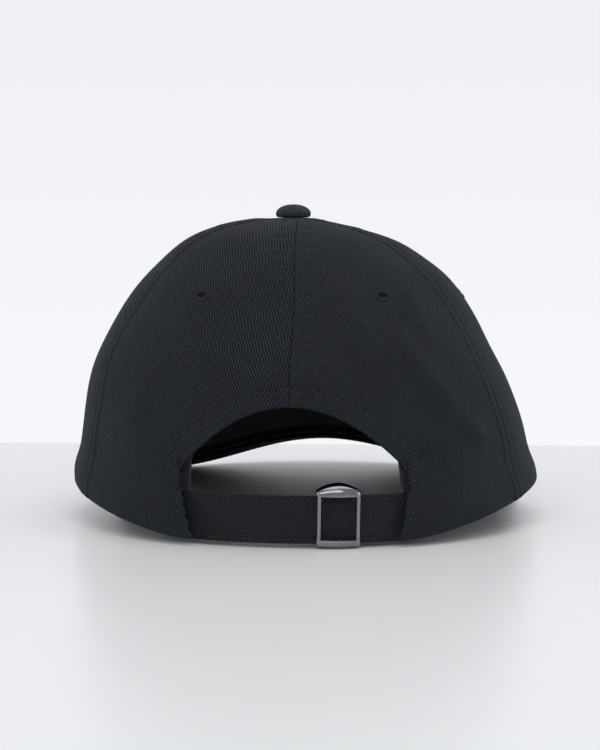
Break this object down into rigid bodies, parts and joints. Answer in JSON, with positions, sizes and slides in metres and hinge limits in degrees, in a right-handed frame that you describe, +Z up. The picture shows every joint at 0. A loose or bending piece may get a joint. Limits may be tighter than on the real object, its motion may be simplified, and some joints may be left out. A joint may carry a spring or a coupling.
{
  "type": "baseball cap",
  "caption": "Panelled twill baseball cap with a curved visor, a covered top button, sewn eyelets and an arched back opening closed by a strap in a metal slide buckle.",
  "frame": {"origin": "centre of the head opening, on the table the cap rests on", "axes": "+Z up, out of the top button; -Y towards the visor; +X towards the wearer's left"},
  "size_m": [0.1831, 0.2562, 0.1235],
  "materials": {
    "twill": "washed cotton twill, blue-black",
    "lining": "plain woven cotton tape and buckram, black",
    "thread": "black embroidery thread",
    "board": "moulded polyethylene board, hidden in the visor",
    "gunmetal": "polished gunmetal plate"
  },
  "bodies": {
    "cap": {"back_left_panel": "twill", "back_right_panel": "twill", "side_left_panel": "twill", "side_right_panel": "twill", "front_left_panel": "twill", "front_right_panel": "twill", "back_left_eyelet": "thread", "back_right_eyelet": "thread", "side_left_eyelet": "thread", "side_right_eyelet": "thread", "front_left_eyelet": "thread", "front_right_eyelet": "thread", "back_seam_tape": "lining", "left_back_seam_tape": "lining", "right_back_seam_tape": "lining", "left_front_seam_tape": "lining", "right_front_seam_tape": "lining", "front_seam_tape": "lining", "front_left_stiffener": "lining", "front_right_stiffener": "lining", "arch_facing": "lining", "sweatband": "lining", "visor_top_cover": "twill", "visor_under_cover": "twill", "visor_board": "board", "button_cover": "twill", "button_shell": "gunmetal", "button_rivet": "gunmetal", "button_washer": "gunmetal", "strap": "twill"},
    "keeper": {"keeper_tab": "twill"},
    "buckle": {"buckle_frame": "gunmetal", "buckle_centre_bar": "gunmetal"}
  },
  "joints": [
    {"name": "buckle_slide", "type": "hinge", "parent": "cap", "child": "keeper", "pos_m": [0, 0.0042, 0], "axis": [0, 0, 1], "range_deg": [-13, 7.5]},
    {"name": "buckle_tilt", "type": "hinge", "parent": "keeper", "child": "buckle", "pos_m": [-0.01439, 0.0834, 0], "axis": [0, 0, 1], "range_deg": [-6.5, 6.5]}
  ]
}
